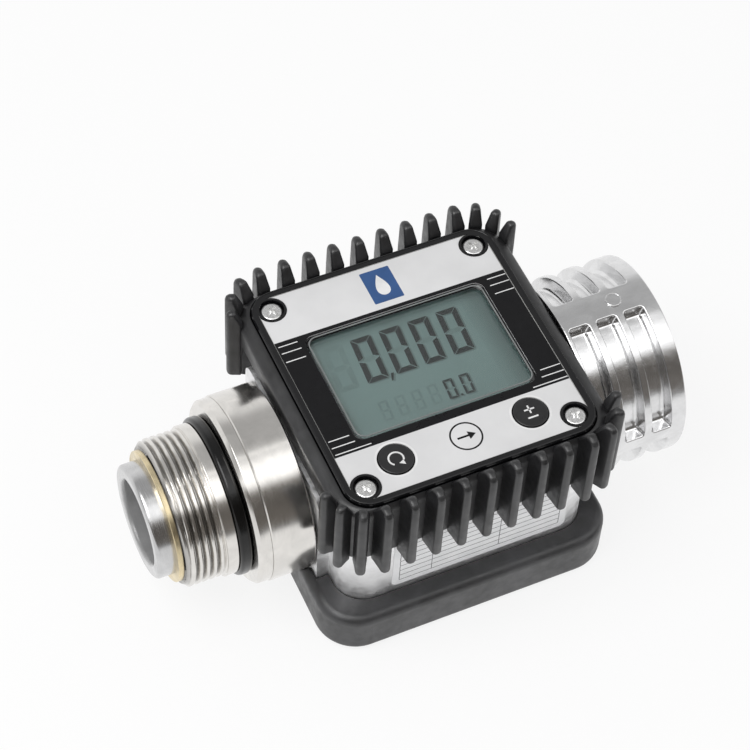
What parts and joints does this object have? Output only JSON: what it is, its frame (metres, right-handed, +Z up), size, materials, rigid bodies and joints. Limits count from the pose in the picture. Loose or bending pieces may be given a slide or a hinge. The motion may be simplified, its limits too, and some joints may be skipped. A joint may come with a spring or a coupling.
{
  "type": "digital fuel meter",
  "caption": "In-line turbine fuel meter with a digital display, finned rubber bumper, rubber boot, swivelling male threaded inlet and ribbed female threaded outlet.",
  "frame": {"origin": "middle of the rubber boot's flat resting face, under the middle of the display", "axes": "+X along the flow axis from the swivelling male inlet to the ribbed female outlet, +Y away from the reader, +Z up out of the display"},
  "size_m": [0.1741, 0.103, 0.0748],
  "materials": {
    "cast_body": "bright die-cast aluminium",
    "cast_spigot": "turned aluminium",
    "cover_plastic": "gloss black moulded plastic",
    "label_silver": "silver grey printed face label",
    "window_clear": "clear flat window",
    "display_glass": "grey green liquid crystal display",
    "holder_plastic": "moulded plastic",
    "board": "green circuit board",
    "gasket_rubber": "moulded seal",
    "screw_steel": "zinc plated steel",
    "sensor_plastic": "moulded package",
    "key_rubber": "smooth black silicone rubber",
    "dome_steel": "spring steel",
    "cell_sleeve": "plain sleeve",
    "contact_steel": "nickel plated spring steel",
    "bumper_rubber": "satin black moulded rubber",
    "boot_rubber": "satin black moulded rubber",
    "rating_label": "blank white label",
    "guide_plastic": "natural acetal",
    "rotor_plastic": "natural moulded plastic",
    "axle_steel": "ground stainless steel",
    "magnet": "coated ring magnet",
    "bush": "hard ground bearing",
    "circlip_steel": "spring steel",
    "adapter_nickel": "turned nickel plated steel",
    "sleeve_nickel": "turned nickel plated steel",
    "ring_rubber": "gloss black sealing rubber",
    "thrust_brass": "turned brass",
    "wire_steel": "drawn spring wire",
    "seal_rubber": "oil resistant rubber"
  },
  "bodies": {
    "meter": {"base_boot": "boot_rubber", "bumper_frame": "bumper_rubber", "calibration_snap_dome": "dome_steel", "cell_contacts": "contact_steel", "circuit_board": "board", "cover_gasket": "gasket_rubber", "cover_screws": "screw_steel", "display_glass": "display_glass", "display_holder": "holder_plastic", "display_window": "window_clear", "face_cover": "cover_plastic", "face_label": "label_silver", "front_cell": "cell_sleeve", "guide_circlip": "circlip_steel", "inlet_axle_bush": "bush", "inlet_flow_guide": "guide_plastic", "inlet_spigot": "cast_spigot", "meter_body": "cast_body", "outlet_axle_bush": "bush", "outlet_flow_guide": "guide_plastic", "pulse_sensor": "sensor_plastic", "rating_plate": "rating_label", "rear_cell": "cell_sleeve", "reset_snap_dome": "dome_steel", "retaining_wire": "wire_steel", "rotor_sleeve": "guide_plastic", "spigot_seals": "seal_rubber", "thrust_ring": "thrust_brass"},
    "swivel": {"thread_adapter": "adapter_nickel", "swivel_sleeve": "sleeve_nickel", "thread_o_ring": "ring_rubber"},
    "rotor": {"turbine_rotor": "rotor_plastic", "rotor_axle": "axle_steel", "rotor_magnet": "magnet"},
    "reset_button": {"reset_key": "key_rubber"},
    "calibration_button": {"calibration_key": "key_rubber"}
  },
  "joints": [
    {"name": "swivel_turn", "type": "hinge", "parent": "meter", "child": "swivel", "pos_m": [-0.067, 0, 0.0355], "axis": [1, 0, 0], "continuous": true},
    {"name": "rotor_spin", "type": "hinge", "parent": "meter", "child": "rotor", "pos_m": [0, 0, 0.0355], "axis": [1, 0, 0], "continuous": true},
    {"name": "reset_press", "type": "slide", "parent": "meter", "child": "reset_button", "axis": [0, 0, -1], "range_m": [0, 0.0008], "stiffness_N_per_m": 600, "springref_m": -0.0005, "deforming": ["reset_snap_dome"]},
    {"name": "calibration_press", "type": "slide", "parent": "meter", "child": "calibration_button", "axis": [0, 0, -1], "range_m": [0, 0.0008], "stiffness_N_per_m": 600, "springref_m": -0.0005, "deforming": ["calibration_snap_dome"]}
  ]
}
